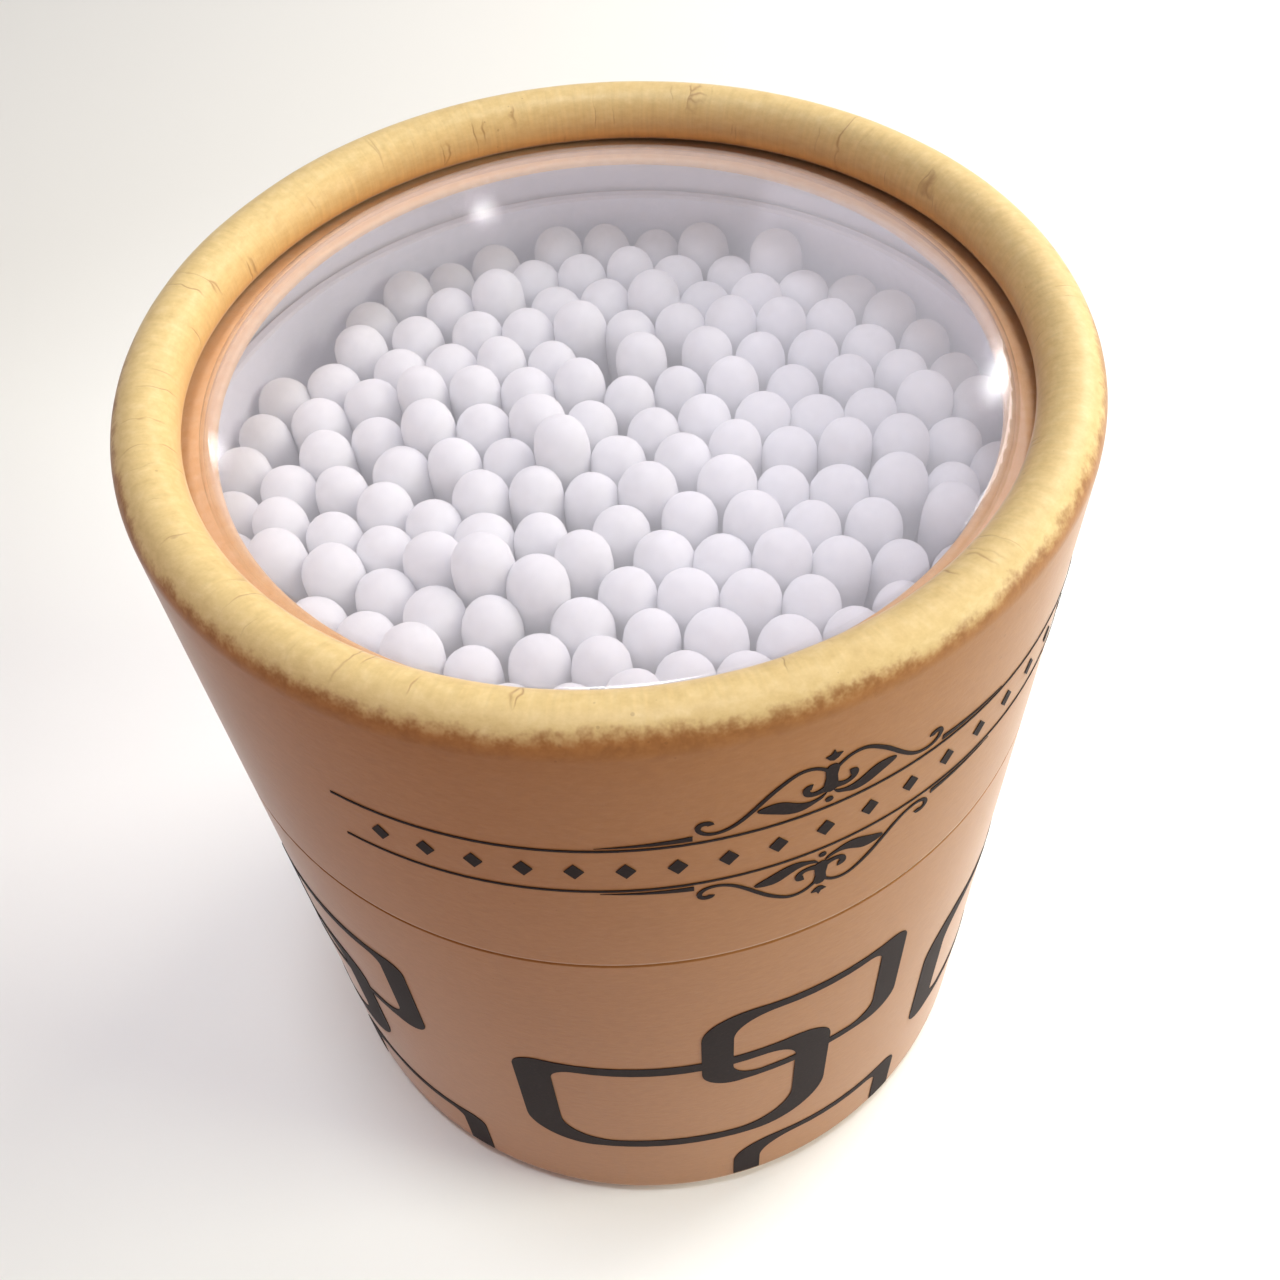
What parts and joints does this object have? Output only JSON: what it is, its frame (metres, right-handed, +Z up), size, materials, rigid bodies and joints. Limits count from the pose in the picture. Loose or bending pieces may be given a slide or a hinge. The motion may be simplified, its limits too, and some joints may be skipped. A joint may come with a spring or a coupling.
{
  "type": "cotton swab tub",
  "caption": "Round board tub of double-ended cotton swabs with a lift-off lid and a clear window in the lid.",
  "frame": {"origin": "middle of the circle that the tub's foot stands on", "axes": "+Z up along the tub's axis, -Y to the front as in the picture, +X to the right"},
  "size_m": [0.0802, 0.0802, 0.0936],
  "materials": {
    "kraft_board": "kraft paper face, matte",
    "white_lined_board": "white lined, matte",
    "base_board": "kraft board, matte",
    "ring_board": "kraft board, matte",
    "ink": "dark brown printing ink",
    "paper_stick": "rolled white paper",
    "cotton": "wound cotton",
    "clear_film": "clear thermoformed film"
  },
  "bodies": {
    "tub": {"body_tube": "kraft_board", "neck_tube": "white_lined_board", "base_disc": "base_board", "body_print": "ink", "swab_sticks": "paper_stick", "swab_tips_lower": "cotton", "swab_tips_upper": "cotton"},
    "lid": {"lid_tube": "kraft_board", "window_ring": "ring_board", "window_film": "clear_film", "lid_print": "ink"}
  },
  "joints": [
    {"name": "lid_lift", "type": "slide", "parent": "tub", "child": "lid", "axis": [0, 0, 1], "range_m": [0, 0.036]}
  ]
}
